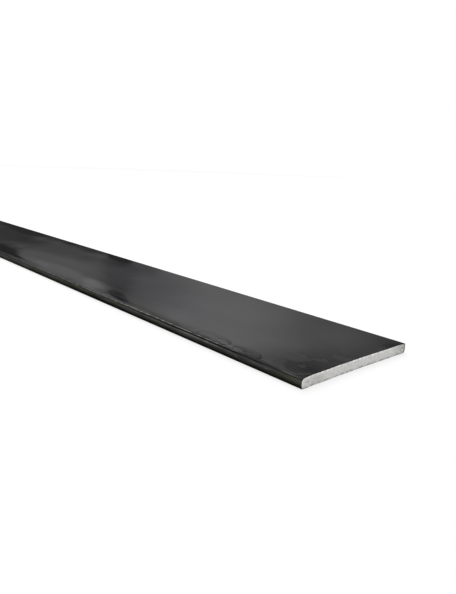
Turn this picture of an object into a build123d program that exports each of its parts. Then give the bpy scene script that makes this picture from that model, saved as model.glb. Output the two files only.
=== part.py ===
from build123d import *
import os

# Hot-rolled steel flat bar, sawn square at both ends. Millimetres.
# +X runs along the bar, +Y across it from the near edge to the far edge, and +Z up from the
# wide face that it lies on. The origin is the middle of that lower face.

# Driving dimensions
BAR_LENGTH = 1000.0  # from one sawn end to the other
BAR_WIDTH = 75.0  # over the bowed edges
BAR_THICKNESS = 5.0  # between the two wide faces
EDGE_BOW = 0.25  # how far the middle of each narrow edge stands out past its corners
SHOULDER_WIDTH = 7.0  # strip along the near edge where the upper face rolls off
SHOULDER_DROP = 0.45  # how far the upper face has fallen where that strip meets the edge
FULL_CORNER = 0.55  # radius where the steel filled the corner of the rolls
OPEN_CORNER = 1.3  # radius where the rolls left the corner unfilled
SAW_EDGE_BREAK = 0.3  # bevel that takes the saw burr off each end


def rounded(section, corners, radius):
    """The section with the sharp corners at those points rounded to one radius."""
    vertices = [section.vertices().sort_by_distance(corner)[0] for corner in corners]
    return fillet(vertices, radius)


def rolled_section():
    """The section as the rolls leave it, seen from the +X end with the near edge on the left."""
    corner_reach = BAR_WIDTH / 2 - EDGE_BOW
    near_height = BAR_THICKNESS - SHOULDER_DROP
    lower_near = (-corner_reach, 0)
    lower_far = (corner_reach, 0)
    upper_far = (corner_reach, BAR_THICKNESS)
    upper_near = (-corner_reach, near_height)
    roll_off = (SHOULDER_WIDTH - BAR_WIDTH / 2, BAR_THICKNESS)

    lower_face = Line(lower_near, lower_far)
    far_edge = ThreePointArc(lower_far, (BAR_WIDTH / 2, BAR_THICKNESS / 2), upper_far)
    upper_face = Line(upper_far, roll_off)
    shoulder = TangentArc(roll_off, upper_near, tangent=(-1, 0))
    near_edge = ThreePointArc(upper_near, (-BAR_WIDTH / 2, near_height / 2), lower_near)
    outline = make_face([lower_face, far_edge, upper_face, shoulder, near_edge])

    filled = rounded(outline, [lower_near, upper_far], FULL_CORNER)
    return rounded(filled, [upper_near, lower_far], OPEN_CORNER)


def flat_bar():
    """The rolled section run to length, with the burr taken off both sawn ends."""
    bar = extrude(Plane.YZ * rolled_section(), amount=BAR_LENGTH / 2, both=True)
    sawn_ends = bar.faces().filter_by(Axis.X)
    return chamfer(sawn_ends.edges(), SAW_EDGE_BREAK)


os.makedirs("parts", exist_ok=True)
export_step(flat_bar(), "parts/flat_bar.step")
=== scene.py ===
"""A length of hot-rolled steel flat bar with sawn ends, dressed over its CAD frame in a white studio.

Every length is in metres. +X runs along the bar, +Y across it and +Z up from the face it lies on.
"""
import math

import bmesh
import bpy
from bpy.props import FloatProperty, FloatVectorProperty, IntProperty, PointerProperty
from mathutils import Matrix, Vector


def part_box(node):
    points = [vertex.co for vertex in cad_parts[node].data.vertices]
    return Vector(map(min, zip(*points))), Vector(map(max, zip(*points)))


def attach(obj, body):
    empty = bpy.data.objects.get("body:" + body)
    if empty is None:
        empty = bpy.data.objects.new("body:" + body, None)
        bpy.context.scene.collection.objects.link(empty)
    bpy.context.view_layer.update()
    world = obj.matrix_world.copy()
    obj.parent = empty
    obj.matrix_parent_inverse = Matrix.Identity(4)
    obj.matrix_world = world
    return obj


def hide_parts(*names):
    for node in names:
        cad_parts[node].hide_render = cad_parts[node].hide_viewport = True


bl_info = {
    "name": "Hot-Rolled Flat Bar",
    "version": (1, 0, 0),
    "blender": (4, 5, 0),
    "location": "3D View > Sidebar > Flat Bar",
    "description": "Models a length of mill-scaled flat bar with sawn ends, and the studio it lies in",
    "category": "Add Mesh",
}

MM = 0.001

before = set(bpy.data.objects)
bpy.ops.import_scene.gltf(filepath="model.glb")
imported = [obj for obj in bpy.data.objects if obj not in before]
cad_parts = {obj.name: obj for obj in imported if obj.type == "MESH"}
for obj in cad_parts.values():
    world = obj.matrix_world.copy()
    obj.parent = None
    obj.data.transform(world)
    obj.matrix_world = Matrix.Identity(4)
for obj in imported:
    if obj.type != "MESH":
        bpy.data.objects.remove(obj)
LOW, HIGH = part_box("flat_bar")
LENGTH, WIDTH, THICKNESS = HIGH - LOW
MIDDLE = (LOW + HIGH) / 2
FRONT_END = Vector((HIGH.x, MIDDLE.y, LOW.z))
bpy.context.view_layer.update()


# ================================================================ settings

class BarShape(bpy.types.PropertyGroup):
    """Sizes of the rolled section, and of the fine relief that rolling and sawing leave."""

    edge_bow: FloatProperty(
        name="Edge Bow", description="How far the middle of a narrow edge stands out past its corners",
        default=0.25 * MM, unit="LENGTH", precision=5)
    shoulder_width: FloatProperty(
        name="Shoulder Width", description="Strip along the near edge where the upper face rolls off",
        default=7.0 * MM, unit="LENGTH", precision=5)
    shoulder_drop: FloatProperty(
        name="Shoulder Drop",
        description="How far the upper face has fallen where it meets the near edge",
        default=0.45 * MM, unit="LENGTH", precision=5)
    full_corner: FloatProperty(
        name="Full Corner", description="Radius where the steel filled the corner of the rolls",
        default=0.55 * MM, unit="LENGTH", precision=5)
    open_corner: FloatProperty(
        name="Open Corner", description="Radius where the rolls left the corner unfilled",
        default=1.3 * MM, unit="LENGTH", precision=5)
    rim: FloatProperty(
        name="Rim", description="Width of the bevelled rim round each sawn end",
        default=0.12 * MM, unit="LENGTH", precision=5)
    roll_wave: FloatProperty(
        name="Roll Wave", description="Depth of the slow waves that the rolls leave in the wide faces",
        default=0.05 * MM, unit="LENGTH", precision=5)
    saw_mark: FloatProperty(
        name="Saw Mark", description="Depth of the marks that the saw leaves across each end",
        default=0.04 * MM, unit="LENGTH", precision=5)
    saw_drift: FloatProperty(
        name="Saw Drift", description="How far the saw wandered along the bar on its way across",
        default=0.9 * MM, unit="LENGTH", precision=5)
    flaking: FloatProperty(
        name="Flaking", description="How far the mill scale has flaked back from the sawn ends",
        default=0.25 * MM, unit="LENGTH", precision=5)
    seam: FloatProperty(
        name="Seam", description="Depth of the fine seam that the rolls left under the near corner",
        default=0.05 * MM, unit="LENGTH", precision=5)
    rings: IntProperty(
        name="Rings", description="Divisions along the bar", default=200, min=20)
    strips: IntProperty(
        name="Strips", description="Divisions across each wide face", default=84, min=10)


class BarFinish(bpy.types.PropertyGroup):
    """Colours of the mill scale and of the sawn steel."""

    # The upper face mixes between thick and burnished scale by a field that also holds painted sheen and
    # reflection bands.
    scale_dark: FloatVectorProperty(
        name="Thick Scale", description="Mill scale where it lies thickest",
        subtype="COLOR", size=3, min=0, max=1, default=(0.0104, 0.0098, 0.0108))
    scale_pale: FloatVectorProperty(
        name="Burnished Scale", description="Mill scale where the rolls have burnished it most",
        subtype="COLOR", size=3, min=0, max=1, default=(0.1230, 0.1241, 0.1229))
    scale_blued: FloatVectorProperty(
        name="Blued Scale", description="Burnished scale with a faint blue from its cooling",
        subtype="COLOR", size=3, min=0, max=1, default=(0.1230, 0.1224, 0.1320))
    # Painted shade: the dark colour that the narrow edges fade to at their foot.
    edge_foot_shade: FloatVectorProperty(
        name="Edge Foot", description="Scale along the foot of the narrow edges",
        subtype="COLOR", size=3, min=0, max=1, default=(0.0050, 0.0050, 0.0044))
    edge_high: FloatVectorProperty(
        name="Edge Head", description="Scale along the head of the narrow edges",
        subtype="COLOR", size=3, min=0, max=1, default=(0.073, 0.0725, 0.0715))
    edge_olive: FloatVectorProperty(
        name="Olive Edge", description="Olive tinge that parts of the narrow edges have",
        subtype="COLOR", size=3, min=0, max=1, default=(0.074, 0.074, 0.060))
    # Also the colour of the painted highlight along the near corner's ridge.
    rubbed: FloatVectorProperty(
        name="Rubbed Line", description="Steel that shows where the corner has rubbed bright",
        subtype="COLOR", size=3, min=0, max=1, default=(0.51, 0.51, 0.50))
    steel_dull: FloatVectorProperty(
        name="Dull Steel", description="Sawn steel in the bottom of the saw marks",
        subtype="COLOR", size=3, min=0, max=1, default=(0.45, 0.445, 0.43))
    steel_bright: FloatVectorProperty(
        name="Bright Steel", description="Sawn steel on the crests of the saw marks",
        subtype="COLOR", size=3, min=0, max=1, default=(0.675, 0.672, 0.655))
    steel_burred: FloatVectorProperty(
        name="Burred Steel", description="Steel turned up bright along the head of the cut",
        subtype="COLOR", size=3, min=0, max=1, default=(0.95, 0.95, 0.93))
    steel_stained: FloatVectorProperty(
        name="Stained Steel", description="Sawn steel where the coolant has dried on it",
        subtype="COLOR", size=3, min=0, max=1, default=(0.20, 0.21, 0.19))
    steel_warmed: FloatVectorProperty(
        name="Warmed Steel", description="Sawn steel that the cut has warmed to straw",
        subtype="COLOR", size=3, min=0, max=1, default=(0.33, 0.29, 0.26))


class StudioLook(bpy.types.PropertyGroup):
    """Where the camera stands, and how the studio is lit."""

    azimuth: FloatProperty(
        name="Camera Azimuth", description="Heading of the camera: 0 looks along +Y, 90 along -X",
        default=math.radians(48.49), unit="ROTATION")
    elevation: FloatProperty(
        name="Camera Elevation", description="How far the camera looks down",
        default=math.radians(14.18), unit="ROTATION")
    roll: FloatProperty(
        name="Camera Roll", description="Turn of the camera about its own axis",
        default=math.radians(2.16), unit="ROTATION")
    focal_length: FloatProperty(
        name="Focal Length", description="Lens focal length in millimetres on a 36 mm sensor",
        default=33.83)
    standpoint: FloatVectorProperty(
        name="Standpoint", description="Camera position from the foot of the front sawn end",
        subtype="XYZ_LENGTH", size=3, default=(134.56 * MM, -197.65 * MM, 89.49 * MM))
    backdrop: FloatProperty(
        name="Backdrop Level", description="Brightness of the white backdrop; 1 is white", default=1.0)
    ceiling: FloatProperty(
        name="Ceiling Level", description="Brightness of the studio above the backdrop", default=0.15)
    softbox_power: FloatProperty(
        name="Softbox Power", description="Power of the overhead softbox", default=18.0, unit="POWER")
    strip_level: FloatProperty(
        name="Strip Level", description="Brightness of the broad strip box behind the bar; 1 is white",
        default=7.0)
    side_strip_level: FloatProperty(
        name="Side Strip Level", description="Brightness of the narrow strip box on either side of it",
        default=4.2)


# ================================================================ modelling

SELECT_MODES = {"verts": "VERT", "edges": "EDGE", "faces": "FACE"}


def select_only(kind, wanted):
    """In edit mode, selects only the vertices, edges or faces that wanted() accepts."""
    bpy.ops.mesh.select_mode(type=SELECT_MODES[kind])
    bpy.ops.mesh.select_all(action="DESELECT")
    mesh = bmesh.from_edit_mesh(bpy.context.object.data)
    for item in getattr(mesh, kind):
        if not item.hide and wanted(item):
            item.select_set(True)
    mesh.select_flush_mode()
    bmesh.update_edit_mesh(bpy.context.object.data)


def near(value, target, tolerance=0.001 * MM):
    """True where two coordinates agree."""
    return abs(value - target) < tolerance


def at(point):
    """A test for the vertices that lie at that (Y, Z) of the section."""
    return lambda v: near(v.co.y, point[0]) and near(v.co.z, point[1])


def round_corners(points, reach, segments):
    """Rounds the section's outline at those points, from that far before each to that far after it."""
    tests = [at(point) for point in points]
    select_only("verts", lambda v: any(test(v) for test in tests))
    bpy.ops.mesh.bevel(offset=reach, segments=segments, affect="VERTICES", profile=0.5)


def split_edge(first, second, place):
    """Adds a vertex on the outline's edge between two points, and moves it to its place."""
    ends = (at(first), at(second))
    select_only("edges", lambda e: all(any(end(v) for v in e.verts) for end in ends))
    bpy.ops.mesh.subdivide(number_cuts=1)
    bpy.ops.mesh.select_all(action="SELECT")
    bpy.ops.mesh.dissolve_faces()
    middle = ((first[0] + second[0]) / 2, (first[1] + second[1]) / 2)
    select_only("verts", at(middle))
    bpy.ops.transform.translate(value=(0, place[0] - middle[0], place[1] - middle[1]))


def draw_section(shape):
    """Draws the rolled section as a flat outline at the bar's back end, and stays in edit mode."""
    bpy.ops.object.select_all(action="DESELECT")
    bpy.ops.mesh.primitive_plane_add(
        size=1, location=(LOW.x, MIDDLE.y, MIDDLE.z), rotation=(0, math.radians(90), 0))
    bpy.context.object.scale = (THICKNESS, WIDTH, 1)
    bpy.ops.object.transform_apply(location=True, rotation=True, scale=True)
    bpy.ops.object.mode_set(mode="EDIT")

    corner_distance = WIDTH / 2 - shape.edge_bow
    near_height = HIGH.z - shape.shoulder_drop
    near_edge_middle = (LOW.y, (LOW.z + near_height) / 2)
    far_edge_middle = (HIGH.y, MIDDLE.z)
    shoulder_bend = (shape.shoulder_width / 2 - corner_distance, HIGH.z)
    bend_reach = 0.3 * shape.shoulder_width
    bow_reach = 0.15 * THICKNESS
    lower_near, lower_far = (LOW.y, LOW.z), (HIGH.y, LOW.z)
    upper_near, upper_far = (LOW.y, HIGH.z), (HIGH.y, HIGH.z)

    split_edge(lower_near, upper_near, near_edge_middle)
    split_edge(lower_far, upper_far, far_edge_middle)
    split_edge(upper_near, upper_far, shoulder_bend)

    corners = {}
    for corner, height in (
            (lower_near, LOW.z), (lower_far, LOW.z), (upper_far, HIGH.z), (upper_near, near_height)):
        select_only("verts", at(corner))
        corners[corner] = (math.copysign(corner_distance, corner[0]), height)
        bpy.ops.transform.translate(value=(0, corners[corner][0] - corner[0], height - corner[1]))

    round_corners([corners[lower_near], corners[upper_far]], shape.full_corner, segments=6)
    round_corners([corners[upper_near], corners[lower_far]], shape.open_corner, segments=12)
    round_corners([shoulder_bend], bend_reach, segments=6)
    round_corners([near_edge_middle, far_edge_middle], bow_reach, segments=4)


def run_to_length(shape):
    """Divides the section's wide faces into strips, and extrudes it to the bar's length in rings."""
    shortest_wide_face = WIDTH / 4
    shortest_run = MM
    select_only("edges", lambda e: e.calc_length() > shortest_wide_face)
    bpy.ops.mesh.subdivide(number_cuts=shape.strips - 1)
    bpy.ops.mesh.select_mode(type="FACE")
    bpy.ops.mesh.select_all(action="SELECT")
    bpy.ops.mesh.dissolve_faces()
    bpy.ops.mesh.extrude_region_move(TRANSFORM_OT_translate={"value": (LENGTH, 0, 0)})
    # Subdividing makes at most 100 cuts at a time, so the rings are cut in two goes.
    stretches = 20
    for parts in (stretches, round(shape.rings / stretches)):
        select_only("edges", lambda e: abs(e.verts[0].co.x - e.verts[1].co.x) > shortest_run)
        bpy.ops.mesh.subdivide(number_cuts=parts - 1)


def is_sawn(face):
    """True for the flat faces at either end of the bar."""
    square_on = 0.99
    return near(abs(face.calc_center_median().x), LENGTH / 2) and abs(face.normal.x) > square_on


def saw_ends(shape):
    """Bevels the rim of each end, and divides the sawn faces finely enough to take saw marks."""
    up, cell_height = Vector((0, 0, 1)), 0.5 * MM
    across, cell_width = Vector((0, 1, 0)), 0.45 * MM
    select_only("faces", is_sawn)
    bpy.ops.mesh.region_to_loop()
    bpy.ops.mesh.bevel(offset=shape.rim, segments=3, affect="EDGES", profile=0.5)
    select_only("faces", is_sawn)
    bpy.ops.mesh.hide(unselected=True)
    bpy.ops.mesh.select_mode(type="VERT")
    for axis, cell in ((up, cell_height), (across, cell_width)):
        size = axis.dot(HIGH - LOW)
        cells = round(size / cell)
        for k in range(1, cells):
            bpy.ops.mesh.select_all(action="SELECT")
            bpy.ops.mesh.bisect(plane_co=LOW + axis * size * k / cells, plane_no=axis)
    bpy.ops.mesh.reveal(select=False)
    bpy.ops.mesh.select_all(action="SELECT")
    bpy.ops.mesh.normals_make_consistent(inside=False)


# ---------------------------------------------------------------- relief

def fade(value, full, none):
    """1 up to full, 0 from none on, and an even slope between them."""
    return min(1.0, max(0.0, (none - value) / (none - full)))


def weigh(bar, name, weight_of):
    """A vertex group whose weights come from each vertex's place."""
    group = bar.vertex_groups.new(name=name)
    for vertex in bar.data.vertices:
        weight = weight_of(vertex.co)
        if weight > 0:
            group.add([vertex.index], weight, "REPLACE")
    return group.name


def press(bar, group, depth, direction="NORMAL", grain=None, turn=0.0):
    """Presses the group's vertices in by depth, or by cloudy relief of that grain along X, Y and Z."""
    dent = bar.modifiers.new(group, "DISPLACE")
    dent.direction = direction
    dent.mid_level = 0.0
    dent.strength = -depth
    dent.vertex_group = group
    if grain:
        bpy.ops.object.empty_add(location=MIDDLE, rotation=(turn, 0, 0))
        ruler = bpy.context.object
        ruler.scale = grain
        clouds = bpy.data.textures.new(group, "CLOUDS")
        clouds.noise_scale = 1.0
        clouds.noise_depth = 2
        dent.texture = clouds
        dent.texture_coords = "OBJECT"
        dent.texture_coords_object = ruler
    bpy.ops.object.select_all(action="DESELECT")
    bpy.context.view_layer.objects.active = bar
    bar.select_set(True)
    bpy.context.view_layer.update()
    bpy.ops.object.modifier_apply(modifier=dent.name)
    if grain:
        bpy.data.objects.remove(ruler)
        bpy.data.textures.remove(clouds)


# How far the saw had drifted at each place across the bar (Y in millimetres), as a share of the most.
SAW_PATH = (
    (-37.5, 0.3), (-33.0, 0.3), (-29.5, 0.65), (-26.5, 0.5), (-18.0, 0.7), (-14.5, 0.95),
    (-8.0, 0.85), (3.0, 1.0), (12.0, 0.85), (24.0, 0.6), (30.0, 0.7), (37.5, 0.35))


def drift_of_saw(y):
    """The saw's drift at that place across the bar, from 0 to 1."""
    for (start, before), (end, after) in zip(SAW_PATH, SAW_PATH[1:]):
        if y <= end * MM:
            return before + (after - before) * (y / MM - start) / (end - start)
    return SAW_PATH[-1][1]


# Relief with a grain this long is even along that axis.
EVEN = 1.0

# How far the saw marks lean over from upright.
SAW_LEAN = math.radians(18)


def add_relief(bar, shape):
    """Roll waves, a seam, saw marks, ragged rims and the drift of the saw, all pressed inwards."""
    skin = 0.01 * MM
    rim_foot = LENGTH / 2 - shape.rim
    waves_full, waves_none = 0.38 * WIDTH, 0.48 * WIDTH
    seam_height, seam_full, seam_none = 4.0 * MM, 0.05 * MM, 0.3 * MM
    seam_limit = LOW.y + 0.6 * MM

    def on_wide_face(co):
        is_flat = near(co.z, LOW.z, skin) or near(co.z, HIGH.z, skin)
        return fade(abs(co.y), waves_full, waves_none) if is_flat else 0.0

    def on_seam(co):
        return fade(abs(co.z - seam_height), seam_full, seam_none) if co.y < seam_limit else 0.0

    def on_rim(co):
        return 1.0 if rim_foot - skin < abs(co.x) < LENGTH / 2 - skin else 0.0

    def on_rim_foot(side):
        return lambda co: 1.0 if near(side * co.x, rim_foot) else 0.0

    def past_rim_foot(side):
        return lambda co: drift_of_saw(side * co.y) if side * co.x > rim_foot - skin else 0.0

    wide = weigh(bar, "Roll waves", on_wide_face)
    seam = weigh(bar, "Seam", on_seam)
    sawn = weigh(bar, "Saw marks", lambda co: 1.0 if near(abs(co.x), LENGTH / 2) else 0.0)
    rim = weigh(bar, "Ragged rim", on_rim)
    ends = []
    for name, side in (("Front", 1), ("Back", -1)):
        flaking = weigh(bar, f"{name} flaking", on_rim_foot(side))
        drift = weigh(bar, f"{name} drift", past_rim_foot(side))
        ends.append((side, flaking, drift))

    press(bar, wide, shape.roll_wave, grain=(120 * MM, 40 * MM, EVEN))
    press(bar, seam, shape.seam, grain=(40 * MM, EVEN, EVEN))
    press(bar, sawn, shape.saw_mark, grain=(EVEN, 1.5 * MM, 2.5 * MM), turn=SAW_LEAN)
    press(bar, rim, 0.5 * shape.rim, grain=(EVEN, 1.4 * MM, 1.4 * MM))
    for side, flaking, drift in ends:
        press(bar, flaking, side * shape.flaking, direction="X", grain=(EVEN, 1.8 * MM, 1.8 * MM))
        press(bar, drift, side * shape.saw_drift, direction="X")


# ================================================================ shader helpers

def add_node(tree, kind, inputs=None, **settings):
    """A shader node with its settings; its inputs are values or sockets, by name or number."""
    node = tree.nodes.new(kind)
    for name, value in settings.items():
        setattr(node, name, value)
    for key, value in (inputs or {}).items():
        if isinstance(value, bpy.types.NodeSocket):
            tree.links.new(value, node.inputs[key])
        else:
            node.inputs[key].default_value = value
    return node


def calculate(tree, operation, *values):
    """The result of a Math node."""
    return add_node(tree, "ShaderNodeMath", dict(enumerate(values)), operation=operation).outputs[0]


def times(tree, first, second):
    """The product of two values."""
    return calculate(tree, "MULTIPLY", first, second)


def scaled(tree, value, factor, base):
    """A value times a factor, plus a base."""
    return calculate(tree, "MULTIPLY_ADD", value, factor, base)


def outline_of(tree, mask):
    """Strongest, at a quarter, halfway up a mask's slope, and 0 where the mask is 0 or 1."""
    return times(tree, mask, calculate(tree, "SUBTRACT", 1.0, mask))


def length_of(tree, vector):
    """The length of a vector."""
    return add_node(tree, "ShaderNodeVectorMath", {0: vector}, operation="LENGTH").outputs["Value"]


def ease(tree, value, low, high, to_low=0.0, to_high=1.0):
    """Maps a value smoothly from one range to another."""
    inputs = {"Value": value, "From Min": low, "From Max": high, "To Min": to_low, "To Max": to_high}
    return add_node(tree, "ShaderNodeMapRange", inputs, interpolation_type="SMOOTHSTEP").outputs[0]


def blend(tree, mask, under, over):
    """Mixes two colours by a mask."""
    return add_node(tree, "ShaderNodeMix", {0: mask, 6: under, 7: over}, data_type="RGBA").outputs[2]


def opaque(colour):
    """A colour with its alpha."""
    return (*colour, 1.0)


def new_group(name, inputs, output):
    """A shader node group with its named inputs, and its input and output nodes."""
    group = bpy.data.node_groups.new(name, "ShaderNodeTree")
    for label, kind, default in inputs:
        socket = group.interface.new_socket(name=label, in_out="INPUT", socket_type=kind)
        if default is not None:
            socket.default_value = default
    group.interface.new_socket(name=output, in_out="OUTPUT", socket_type="NodeSocketFloat")
    return group, group.nodes.new("NodeGroupInput").outputs, group.nodes.new("NodeGroupOutput").inputs


def make_grain_group():
    """Drawn Grain: noise stretched along one direction, as a mask between two levels."""
    group, given, result = new_group("Drawn Grain", [
        ("Vector", "NodeSocketVector", None),
        ("Features per Metre", "NodeSocketVector", (10, 100, 100)),
        ("Turn", "NodeSocketVector", (0, 0, 0)),
        ("Low", "NodeSocketFloat", 0.3),
        ("High", "NodeSocketFloat", 0.7)], "Mask")
    drawn = add_node(group, "ShaderNodeMapping", {
        "Vector": given["Vector"], "Rotation": given["Turn"], "Scale": given["Features per Metre"]})
    noise = add_node(group, "ShaderNodeTexNoise", {
        "Vector": drawn.outputs[0], "Scale": 1.0, "Detail": 3.0})
    group.links.new(ease(group, noise.outputs[0], given["Low"], given["High"]), result["Mask"])


def make_patch_group():
    """Soft Patch: an ellipsoid mask, 1 at its centre and 0 past its reach, with a wandering outline."""
    group, given, result = new_group("Soft Patch", [
        ("Vector", "NodeSocketVector", None),
        ("Centre", "NodeSocketVector", (0, 0, 0)),
        ("Reach", "NodeSocketVector", (0.01, 0.01, 0.01)),
        ("Turn", "NodeSocketVector", (0, 0, 0)),
        ("Core", "NodeSocketFloat", 0.0),
        ("Wander", "NodeSocketFloat", 0.2),
        ("Features per Metre", "NodeSocketFloat", 60.0)], "Mask")
    local = add_node(group, "ShaderNodeMapping", {
        "Vector": given["Vector"], "Location": given["Centre"], "Rotation": given["Turn"],
        "Scale": given["Reach"]}, vector_type="TEXTURE")
    reach = length_of(group, local.outputs[0])
    noise = add_node(group, "ShaderNodeTexNoise", {
        "Vector": given["Vector"], "Scale": given["Features per Metre"], "Detail": 2.0})
    shift = times(group, calculate(group, "SUBTRACT", noise.outputs[0], 0.5), given["Wander"])
    wandering = calculate(group, "ADD", reach, shift)
    mask = ease(group, wandering, low=given["Core"], high=1.0, to_low=1.0, to_high=0.0)
    group.links.new(mask, result["Mask"])


def new_material(name):
    """A material with a bare Principled shader, and the Object coordinates for its patterns."""
    material = bpy.data.materials.new(name)
    material.use_nodes = True
    tree = material.node_tree
    tree.nodes.clear()
    shader = tree.nodes.new("ShaderNodeBsdfPrincipled")
    output = tree.nodes.new("ShaderNodeOutputMaterial")
    tree.links.new(shader.outputs[0], output.inputs["Surface"])
    return material, tree, shader.inputs, tree.nodes.new("ShaderNodeTexCoord").outputs["Object"]


# ================================================================ finishes

def grain_mask(tree, place, features, low=0.3, high=0.7, turn=(0, 0, 0)):
    """A Drawn Grain mask; features are how many there are per metre along X, Y and Z."""
    return add_node(tree, "ShaderNodeGroup", {
        "Vector": place, "Features per Metre": features, "Turn": turn, "Low": low, "High": high},
        node_tree=bpy.data.node_groups["Drawn Grain"]).outputs[0]


def patch_mask(tree, place, centre, reach, turn=0.0, core=0.0, wander=0.2, features=60.0):
    """A Soft Patch mask; centre and reach are in millimetres, from the foot of the front sawn end."""
    return add_node(tree, "ShaderNodeGroup", {
        "Vector": place, "Centre": FRONT_END + Vector(centre) * MM, "Reach": Vector(reach) * MM,
        "Turn": (0, 0, math.radians(turn)), "Core": core, "Wander": wander,
        "Features per Metre": features}, node_tree=bpy.data.node_groups["Soft Patch"]).outputs[0]


def upper_patch(tree, place, middle, reach, **outline):
    """A Soft Patch mask on the upper face; middle (X, Y) and reach (along, across) in millimetres."""
    depth = 2
    return patch_mask(tree, place, (*middle, THICKNESS / MM), (*reach, depth), **outline)


def cut_patch(tree, place, middle, reach, **outline):
    """A Soft Patch mask on the front cut, however it drifted; middle and reach (Y, Z) in millimetres."""
    depth = 400
    return patch_mask(tree, place, (0, *middle), (depth, *reach), **outline)


# Soft patches of the upper face: middle (X, Y) and reach (along, across) in millimetres, turn in
# degrees, core, and how much each adds to the burnish and painted sheen. They hold the scale's own
# uneven tone and, over the part the camera sees, painted sheen: the bright and dark reflection bands of
# the studio's lights.
UPPER_PATCHES = {
    # Painted reflection: the first slanting dark band paints a dark reflection band across the upper
    # face; the later ones repeat it along the bar.
    "slanting dark band": ((-208, 0), (84, 19), -28, 0.2, -0.19),
    "slanting dark band, by the far edge": ((-255, 26), (40, 16), -28, 0.2, -0.12),
    "shade before the slanting dark band": ((-220, 27), (44, 22), -28, 0.2, -0.17),
    "slope before the slanting dark band": ((-170, 14), (48, 34), -28, 0.2, -0.06),
    "shade behind the slanting dark band": ((-264, 15), (36, 24), -28, 0.0, -0.1),
    "burnished by the guide": ((-245, -28), (92, 11), 0, 0.4, 0.44),
    "pale above the guide": ((-270, -18), (90, 20), 0, 0.1, 0.06),
    "rubbed shoulder": ((-240, -37), (160, 4.5), 0, 0.5, 0.6),
    "haze": ((-330, 12), (90, 30), 0, 0.3, -0.13),
    "thick scale far along": ((-450, -8), (115, 50), 0, 0.5, -0.25),
    "far edge": ((-312, 38), (78, 18), 0, 0.2, -0.28),
    "far edge, thickest": ((-460, 34), (145, 17), 0, 0.3, -0.36),
    # Painted sheen: the bright reflection over the middle of the upper face.
    "bright middle": ((-90, 0), (50, 45), -10, 0.2, 0.05),
    "near corner": ((0, -34), (56, 34), 0, 0.1, -0.18),
    "strip by the blotch": ((-118, -29), (42, 15), 0, 0.3, 0.11),
    "near end": ((-18, 22), (30, 22), 0, 0.2, 0.13),
    "far corner of the near end": ((-2, 28), (7, 8), 0, 0.2, -0.25),
    "second slanting dark band": ((-535, 5), (95, 20), -28, 0.3, -0.15),
    "third slanting dark band": ((-835, 0), (115, 22), -30, 0.2, -0.16),
    "burnished by the guide, back half": ((-690, -29), (170, 18), 0, 0.1, 0.3),
    "burnished beyond the middle": ((-900, 20), (110, 18), 3, 0.1, 0.16),
    "blotch of the back half": ((-742, 29), (34, 9), 9, 0.2, -0.24),
    "near back end": ((-990, 5), (60, 50), 20, 0.1, -0.2),
}

# Smaller marks with a firmer outline, given in the same way; they too mix the scale's own marks with
# painted sheen and painted shade.
UPPER_MARKS = {
    "thick scale by the guide": ((-341, -30), (56, 10), -7, 0.3, -0.44),
    "tail of the thick scale": ((-300, -33.5), (34, 3), -3, 0.4, -0.35),
    "fringe of the thick scale": ((-348, -20), (36, 8), -8, 0.0, -0.16),
    "rub beyond the thick scale": ((-272, -28), (22, 5), -6, 0.3, 0.3),
    "shoulder beyond the thick scale": ((-255, -36.2), (42, 2.2), 0, 0.3, 0.35),
    "brightest rub": ((-190, -28), (26, 8), -12, 0.3, 0.5),
    "blotch by the guide": ((-156, -30), (22, 5), -12, 0.5, -0.2),
    "fringe of the blotch": ((-166, -24), (22, 12), -20, 0.3, -0.06),
    "foot of the blotch": ((-142, -34), (18, 3.5), -6, 0.2, -0.2),
    # Painted shade over the bright reflection that the rounded far corner catches.
    "far edge, dark spot": ((-262, 33), (28, 8), -10, 0.4, -0.32),
    "lip of the near end": ((0, 0), (1.8, 60), 0, 0.2, -0.14),
    "lip of the back end": ((-1000, 0), (1.8, 60), 0, 0.2, -0.14),
}


# How far an outline wanders, and how many features per metre it wanders by.
SOFT_OUTLINE = {"wander": 0.5, "features": 30}
FIRM_OUTLINE = {"wander": 0.15, "features": 60}


def burnish_and_painted_sheen(tree, place):
    """How far the scale is burnished, with painted sheen and reflection bands in it: 0 where it is
    darkest, 1 where it shines.
    """
    burnish_and_sheen = scaled(tree, grain_mask(tree, place, (6, 16, 16)), factor=0.06, base=0.36)
    for patches, outline in ((UPPER_PATCHES, SOFT_OUTLINE), (UPPER_MARKS, FIRM_OUTLINE)):
        for middle, reach, turn, core, amount in patches.values():
            mask = upper_patch(tree, place, middle, reach, turn=turn, core=core, **outline)
            burnish_and_sheen = scaled(tree, mask, amount, burnish_and_sheen)
    return burnish_and_sheen


# Tongues of scale lapped on to the near shoulder: middle (X, Y) and reach (along, across), in
# millimetres.
TONGUES = (((-60, -33.5), (13.5, 5.2)), ((-36, -35), (10, 4.8)))


def laps_of_scale(tree, place):
    """Where one skin of scale laps over another, along the near shoulder and by the front end."""
    by_shoulder = upper_patch(tree, place, (-60, -35.5), (48, 5), core=0.6)
    by_end = upper_patch(tree, place, (-4, -18), (24, 30), turn=25, core=0.4)
    everywhere = 1.0
    skins = [
        (grain_mask(tree, place, (45, 190, 10), low=0.44, high=0.54), by_shoulder, 2.0, 0.35),
        (grain_mask(tree, place, (90, 150, 10), low=0.44, high=0.54), by_end, 2.0, 0.4)]
    for middle, reach in TONGUES:
        tongue = upper_patch(tree, place, middle, reach, turn=-3, core=0.8, wander=0.3, features=90)
        skins.append((tongue, everywhere, 2.2, 0.2))
    laps = 0.0
    for skin, zone, outline_strength, inner_strength in skins:
        inner = times(tree, skin, inner_strength)
        lap = scaled(tree, outline_of(tree, skin), outline_strength, inner)
        laps = scaled(tree, lap, zone, laps)
    return laps


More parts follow.
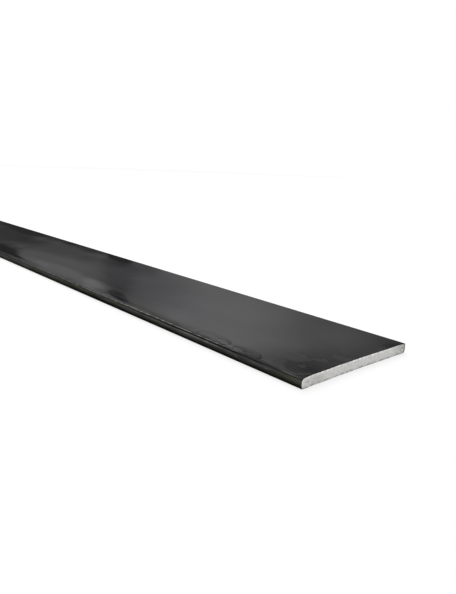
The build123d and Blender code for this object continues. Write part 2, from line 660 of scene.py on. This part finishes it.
def edge_of_scale(tree, place, finish):
    """Where the narrow edges are, and their colour: blotchy and streaky, with painted shade that darkens
    them towards the foot.
    """
    part = add_node(tree, "ShaderNodeSeparateXYZ", {0: place}).outputs
    face_ends, edge_starts = WIDTH / 2 - 0.9 * MM, WIDTH / 2 - 0.35 * MM
    on_edge = ease(tree, calculate(tree, "ABSOLUTE", part["Y"]), face_ends, edge_starts)
    # Painted shade: the edges fade from their head colour down to the painted shade colour at the foot.
    out_of_painted_shade = ease(tree, part["Z"], low=0.3 * MM, high=4.4 * MM)
    blotches = grain_mask(tree, place, (45, 250, 300))
    streaks = grain_mask(tree, place, (70, 900, 1100), low=0.35, high=0.65)
    uneven = scaled(tree, blotches, 0.6, scaled(tree, streaks, factor=0.5, base=0.4))
    tinge = grain_mask(tree, place, (60, 90, 90), low=0.40, high=0.55)
    head = blend(tree, tinge, opaque(finish.edge_high), opaque(finish.edge_olive))
    return on_edge, blend(tree, times(tree, out_of_painted_shade, uneven), opaque(finish.edge_foot_shade), head)


# Bright lines and scuffs along the near edge: the two ridge lines are a painted highlight along the
# corner, the rest are rubbed bright; middle and reach in millimetres, and strength.
RUBBED_LINES_AND_HIGHLIGHT = {
    "ridge": ((-190, -36.75, 4.52), (180, 0.45, 0.35), 1.0),
    "ridge, by the end": ((-8, -36.85, 4.48), (11, 0.34, 0.3), 0.15),
    "scuff": ((-72, -37.42, 3.3), (28, 0.4, 0.28), 0.13),
    "worn corner": ((-178, -37.2, 4.1), (42, 0.5, 0.45), 0.07),
}


def rub_near_edge(tree, place, colour, finish):
    """Paints shade into the seam under the near corner, the corner itself rubbed bright with a painted
    highlight along it, and scuffs below.
    """
    seam_shade_strength, dash_strength = 0.8, 0.25
    # Painted shade in the seam under the near corner: a dark line of thick-scale colour.
    seam = patch_mask(
        tree, place, (-62, -37.2, 4.02), (66, 0.4, 0.3), core=0.4, wander=0.6, features=200)
    colour = blend(tree, times(tree, seam, seam_shade_strength), colour, opaque(finish.scale_dark))
    gaps = grain_mask(tree, place, (60, 60, 60), low=0.15, high=0.4)
    dots = grain_mask(tree, place, (400, 90, 90), low=0.4, high=0.6)
    breaks = times(tree, gaps, scaled(tree, dots, factor=0.65, base=0.55))
    # The ridge lines paint a highlight along the corner; the scuffs and the worn corner are rubbed
    # bright.
    for centre, reach, strength in RUBBED_LINES_AND_HIGHLIGHT.values():
        line = patch_mask(tree, place, centre, reach, core=0.55, wander=0.4, features=200)
        rubbed = times(tree, times(tree, line, breaks), strength)
        colour = blend(tree, rubbed, colour, opaque(finish.rubbed))
    zone = patch_mask(tree, place, (-44, -37.4, 3.2), (42, 1.0, 1.1), core=0.7)
    dashes = times(tree, zone, grain_mask(tree, place, (110, 1100, 1300), low=0.58, high=0.7))
    return blend(tree, times(tree, dashes, dash_strength), colour, opaque(finish.rubbed))


def make_mill_scale(finish):
    """Dark satin oxide skin: burnished and thick patches with painted sheen and reflection bands among
    them, laps, painted shade darkening the edges towards their foot and in the seam, and a painted
    highlight along the rubbed corner.
    """
    material, tree, shader, place = new_material("Mill scale")
    lap_shade, streak_shade, paling = -0.18, 0.03, 0.614
    grazing_tint = (0.45, 0.45, 0.45)
    # The burnish carries painted sheen and reflection bands as well as the scale's own tone.
    burnish_and_sheen = scaled(tree, laps_of_scale(tree, place), lap_shade, burnish_and_painted_sheen(tree, place))
    streaks = grain_mask(tree, place, (12, 700, 700))
    paleness = times(tree, scaled(tree, streaks, streak_shade, burnish_and_sheen), paling)
    blued = upper_patch(tree, place, (-180, 5), (130, 30), turn=-15, core=0.3, wander=0.6, features=30)
    pale = blend(tree, blued, opaque(finish.scale_pale), opaque(finish.scale_blued))
    colour = blend(tree, paleness, opaque(finish.scale_dark), pale)
    on_edge, edge_colour = edge_of_scale(tree, place, finish)
    colour = rub_near_edge(tree, place, blend(tree, on_edge, colour, edge_colour), finish)

    tree.links.new(colour, shader["Base Color"])
    roughness = ease(tree, burnish_and_sheen, low=0.0, high=0.45, to_low=0.6, to_high=0.36)
    tree.links.new(roughness, shader["Roughness"])
    shader["Metallic"].default_value = 1.0
    shader["Specular Tint"].default_value = opaque(grazing_tint)
    relief = calculate(tree, "ADD", grain_mask(tree, place, (900, 1500, 1500)), streaks)
    bump = add_node(tree, "ShaderNodeBump", {"Height": relief, "Strength": 0.1, "Distance": 0.02 * MM})
    tree.links.new(bump.outputs[0], shader["Normal"])
    return material


def burr_of_cut(tree, place, across, up):
    """Where the saw turned the steel up bright: along the head of the cut, and down its near side."""
    by_head = ease(tree, up, low=3.9 * MM, high=4.6 * MM)
    short_of_far_corner = ease(tree, across, 20 * MM, 32 * MM, to_low=1.0, to_high=0.0)
    by_near_side = ease(tree, across, -37.4 * MM, -36.7 * MM, to_low=1.0, to_high=0.0)
    ragged = grain_mask(tree, place, (100, 500, 200), low=0.45, high=0.6)
    burr = calculate(tree, "MAXIMUM", times(tree, by_head, short_of_far_corner), by_near_side)
    return times(tree, burr, scaled(tree, ragged, factor=0.75, base=0.1))


def stains_of_cut(tree, place, across, up):
    """The masks of the dull stains on the cut, each with its strength."""
    by_foot = ease(tree, up, 0.1 * MM, 1.4 * MM, to_low=1.0, to_high=0.0)
    blotches = grain_mask(tree, place, (100, 300, 350), low=0.38, high=0.6)
    by_far_side = ease(tree, across, low=35.7 * MM, high=36.6 * MM)
    upwards = ease(tree, up, 2.4 * MM, 3.8 * MM, to_low=0.65, to_high=0.9)
    far_corner = cut_patch(tree, place, (37.4, 4.9), (3.0, 1.5), core=0.4, wander=0.4, features=400)
    far_end = cut_patch(tree, place, (38, 3.5), (12, 8), core=0.1, wander=0.8, features=400)
    smudge = cut_patch(tree, place, (-33.7, 2.7), (2.0, 0.9), wander=0.8, features=600)
    return [
        (times(tree, by_foot, blotches), 0.8),
        (times(tree, by_far_side, upwards), 1.0),
        (far_corner, 0.7),
        (far_end, 0.5),
        (smudge, 0.6)]


def make_sawn_steel(finish):
    """Bright sawn steel: speckled, brushed by its near end, burred at its head, stained at its foot."""
    material, tree, shader, place = new_material("Sawn steel")
    warm_strength, dent_rim_strength = 0.35, 2.0
    speckle = grain_mask(tree, place, (100, 800, 900))
    marks = grain_mask(tree, place, (100, 1500, 250), turn=(SAW_LEAN, 0, 0))
    by_near_end = cut_patch(tree, place, (-37, 2.5), (13, 9), core=0.3, wander=0.5, features=300)
    brushed = times(tree, marks, scaled(tree, by_near_end, factor=0.45, base=0.1))
    bright = calculate(tree, "ADD", brushed, scaled(tree, speckle, factor=0.3, base=0.45))
    colour = blend(tree, bright, opaque(finish.steel_dull), opaque(finish.steel_bright))

    part = add_node(tree, "ShaderNodeSeparateXYZ", {0: place}).outputs
    burr = burr_of_cut(tree, place, part["Y"], part["Z"])
    colour = blend(tree, burr, colour, opaque(finish.steel_burred))
    warm = cut_patch(tree, place, (-29, 2), (10, 4), core=0.2, wander=0.8, features=300)
    colour = blend(tree, times(tree, warm, warm_strength), colour, opaque(finish.steel_warmed))
    stains = stains_of_cut(tree, place, part["Y"], part["Z"])
    dent = cut_patch(tree, place, (35.2, 1.9), (2.6, 1.8), wander=0.5, features=400)
    stains.append((outline_of(tree, dent), dent_rim_strength))
    for stain, strength in stains:
        colour = blend(tree, times(tree, stain, strength), colour, opaque(finish.steel_stained))
    colour = blend(tree, ease(tree, dent, low=0.7, high=1.0), colour, opaque(finish.steel_bright))

    tree.links.new(colour, shader["Base Color"])
    roughness = ease(tree, speckle, low=0.0, high=1.0, to_low=0.5, to_high=0.42)
    tree.links.new(roughness, shader["Roughness"])
    shader["Metallic"].default_value = 1.0
    bump = add_node(tree, "ShaderNodeBump", {"Height": marks, "Strength": 0.15, "Distance": 0.03 * MM})
    tree.links.new(bump.outputs[0], shader["Normal"])
    return material


class FLATBAR_OT_bar(bpy.types.Operator):
    """Models the flat bar and gives it its mill scale and sawn steel"""

    bl_idname = "flatbar.bar"
    bl_label = "Flat Bar"

    def execute(self, context):
        shape, finish = context.scene.bar_shape, context.scene.bar_finish
        draw_section(shape)
        run_to_length(shape)
        saw_ends(shape)
        bar = context.object
        bar.name = "hot_rolled_bar"
        bar.data.name = bar.name
        make_grain_group()
        make_patch_group()
        bar.data.materials.append(make_mill_scale(finish))
        bar.data.materials.append(make_sawn_steel(finish))
        select_only("faces", is_sawn)
        bar.active_material_index = 1
        bpy.ops.object.material_slot_assign()
        bpy.ops.object.mode_set(mode="OBJECT")
        add_relief(bar, shape)
        bpy.ops.object.shade_smooth_by_angle(angle=math.radians(40))
        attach(bar, "root")
        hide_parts("flat_bar")
        return {"FINISHED"}


# ================================================================ studio

# Heights above the horizon that the backdrop reaches, and that the dim ceiling starts at.
BACKDROP_TOP = math.radians(14.5)
CEILING_FOOT = math.radians(18)

FLOOR_SIZE = 60.0
FLOOR_GAP = 0.05 * MM
FLOOR_PAINT = 0.3

# The floor's glow by the bar and far off, and the distances between which it changes.
GLOW_BY_BAR, GLOW_FAR_OFF = 0.74, 1.0
GLOW_NEAR_LIMIT, GLOW_FAR_LIMIT = 0.7, 4.0

# Strip boxes, as seen from the camera's standpoint: how far off and how high they stand, how wide
# they are to either side of their middle, and how far the narrow ones stand from the broad one.
STRIP_DISTANCE = 3.0
STRIP_BOTTOM, STRIP_TOP = math.radians(15), math.radians(50)
BROAD_HALF_WIDTH, NARROW_HALF_WIDTH = math.radians(7.2), math.radians(1.8)
TURN_TO_LEFT_BOX, TURN_TO_RIGHT_BOX = math.radians(15.9), math.radians(-12.4)

# Width of the camera's sensor, in millimetres.
SENSOR_WIDTH = 36.0


def light_world(scene, look):
    """White backdrop all round to just above the camera's view, then a dim ceiling."""
    world = bpy.data.worlds.new("Studio")
    scene.world = world
    world.use_nodes = True
    tree = world.node_tree
    tree.nodes.clear()
    direction = tree.nodes.new("ShaderNodeTexCoord").outputs["Generated"]
    height = add_node(tree, "ShaderNodeSeparateXYZ", {0: direction}).outputs["Z"]
    level = ease(
        tree, height, math.sin(BACKDROP_TOP), math.sin(CEILING_FOOT), look.backdrop, look.ceiling)
    path = tree.nodes.new("ShaderNodeLightPath").outputs
    seen = add_node(tree, "ShaderNodeMix", {0: path["Is Camera Ray"], 2: level, 3: look.backdrop})
    background = add_node(tree, "ShaderNodeBackground", {
        "Color": (1, 1, 1, 1), "Strength": seen.outputs[0]})
    output = tree.nodes.new("ShaderNodeOutputWorld")
    tree.links.new(background.outputs[0], output.inputs["Surface"])


def lay_floor():
    """A wide pale floor just under the bar. It glows to white for the camera and in reflections."""
    bpy.ops.object.select_all(action="DESELECT")
    bpy.ops.mesh.primitive_plane_add(size=FLOOR_SIZE, location=(0, 0, LOW.z - FLOOR_GAP))
    floor = bpy.context.object
    floor.name = "studio_floor"
    bpy.ops.object.transform_apply(location=True, rotation=True, scale=True)
    material = bpy.data.materials.new("Pale floor")
    material.use_nodes = True
    tree = material.node_tree
    tree.nodes.clear()
    path = tree.nodes.new("ShaderNodeLightPath").outputs
    seen = calculate(tree, "MAXIMUM", path["Is Camera Ray"], path["Is Glossy Ray"])
    seen = calculate(tree, "MAXIMUM", seen, path["Is Transmission Ray"])
    distance = length_of(tree, tree.nodes.new("ShaderNodeTexCoord").outputs["Object"])
    level = ease(tree, distance, GLOW_NEAR_LIMIT, GLOW_FAR_LIMIT, GLOW_BY_BAR, GLOW_FAR_OFF)
    paint = add_node(tree, "ShaderNodeBsdfDiffuse", {"Color": opaque([FLOOR_PAINT] * 3)})
    glow = add_node(tree, "ShaderNodeEmission", {
        "Color": (1, 1, 1, 1), "Strength": times(tree, seen, level)})
    both = add_node(tree, "ShaderNodeAddShader", {0: paint.outputs[0], 1: glow.outputs[0]})
    output = tree.nodes.new("ShaderNodeOutputMaterial")
    tree.links.new(both.outputs[0], output.inputs["Surface"])
    floor.data.materials.append(material)


def hang_softbox(look):
    """One large softbox straight over the bar."""
    height = 1.5
    bpy.ops.object.light_add(type="AREA", location=(0, 0, height))
    softbox = bpy.context.object
    softbox.name = "softbox"
    softbox.data.shape = "RECTANGLE"
    softbox.data.size = 2.0
    softbox.data.size_y = 1.5
    softbox.data.energy = look.softbox_power


def stand_strip_box(look, name, turn, half_width, level):
    """A tall strip box behind the bar, above the camera's view and turned that far from its heading."""
    standpoint = FRONT_END + Vector(look.standpoint)
    heading = look.azimuth + turn
    bottom = standpoint.z + STRIP_DISTANCE * math.tan(STRIP_BOTTOM)
    top = standpoint.z + STRIP_DISTANCE * math.tan(STRIP_TOP)
    away = Vector((-math.sin(heading), math.cos(heading), 0))
    place = standpoint + STRIP_DISTANCE * away
    place.z = (bottom + top) / 2
    facing_camera = away.to_track_quat("Z", "Y").to_euler()
    bpy.ops.object.light_add(type="AREA", location=place, rotation=facing_camera)
    box = bpy.context.object
    box.name = name
    box.visible_camera = False
    box.data.shape = "RECTANGLE"
    box.data.size = 2 * STRIP_DISTANCE * math.tan(half_width)
    box.data.size_y = top - bottom
    box.data.energy = level * math.pi * box.data.size * box.data.size_y


def place_camera(scene, look):
    """The camera, at its standpoint from the front sawn end."""
    turn = (Matrix.Rotation(look.azimuth, 4, "Z")
            @ Matrix.Rotation(math.radians(90) - look.elevation, 4, "X")
            @ Matrix.Rotation(look.roll, 4, "Z"))
    bpy.ops.object.camera_add()
    camera = bpy.context.object
    camera.name = "studio_camera"
    camera.matrix_world = Matrix.Translation(FRONT_END + Vector(look.standpoint)) @ turn
    camera.data.lens = look.focal_length
    camera.data.sensor_width = SENSOR_WIDTH
    camera.data.clip_start = 0.01
    camera.data.clip_end = 200
    scene.camera = camera


class FLATBAR_OT_studio(bpy.types.Operator):
    """Lays the pale floor, lights the studio and places the camera"""

    bl_idname = "flatbar.studio"
    bl_label = "Studio"

    def execute(self, context):
        scene, look = context.scene, context.scene.studio_look
        lay_floor()
        light_world(scene, look)
        hang_softbox(look)
        stand_strip_box(look, "strip_box", 0.0, BROAD_HALF_WIDTH, look.strip_level)
        for name, turn in (("left_strip_box", TURN_TO_LEFT_BOX), ("right_strip_box", TURN_TO_RIGHT_BOX)):
            stand_strip_box(look, name, turn, NARROW_HALF_WIDTH, look.side_strip_level)
        place_camera(scene, look)
        scene.view_settings.view_transform = "Standard"
        return {"FINISHED"}


# ================================================================ panel

class FLATBAR_PT_panel(bpy.types.Panel):
    """Lists the bar's sizes and finishes and the studio's settings"""

    bl_idname = "FLATBAR_PT_panel"
    bl_label = "Flat Bar"
    bl_space_type = "VIEW_3D"
    bl_region_type = "UI"
    bl_category = "Flat Bar"

    def draw(self, context):
        scene = context.scene
        for operator, settings in (
                (FLATBAR_OT_bar, (scene.bar_shape, scene.bar_finish)),
                (FLATBAR_OT_studio, (scene.studio_look,))):
            box = self.layout.box()
            box.operator(operator.bl_idname)
            for group in settings:
                for name in group.__annotations__:
                    box.prop(group, name)


CLASSES = (BarShape, BarFinish, StudioLook, FLATBAR_OT_bar, FLATBAR_OT_studio, FLATBAR_PT_panel)


def register():
    for cls in CLASSES:
        bpy.utils.register_class(cls)
    bpy.types.Scene.bar_shape = PointerProperty(type=BarShape)
    bpy.types.Scene.bar_finish = PointerProperty(type=BarFinish)
    bpy.types.Scene.studio_look = PointerProperty(type=StudioLook)


def unregister():
    del bpy.types.Scene.studio_look
    del bpy.types.Scene.bar_finish
    del bpy.types.Scene.bar_shape
    for cls in reversed(CLASSES):
        bpy.utils.unregister_class(cls)


def main():
    """Builds the bar and its studio."""
    register()
    bpy.ops.flatbar.bar()
    bpy.ops.flatbar.studio()


if __name__ == "__main__":
    main()
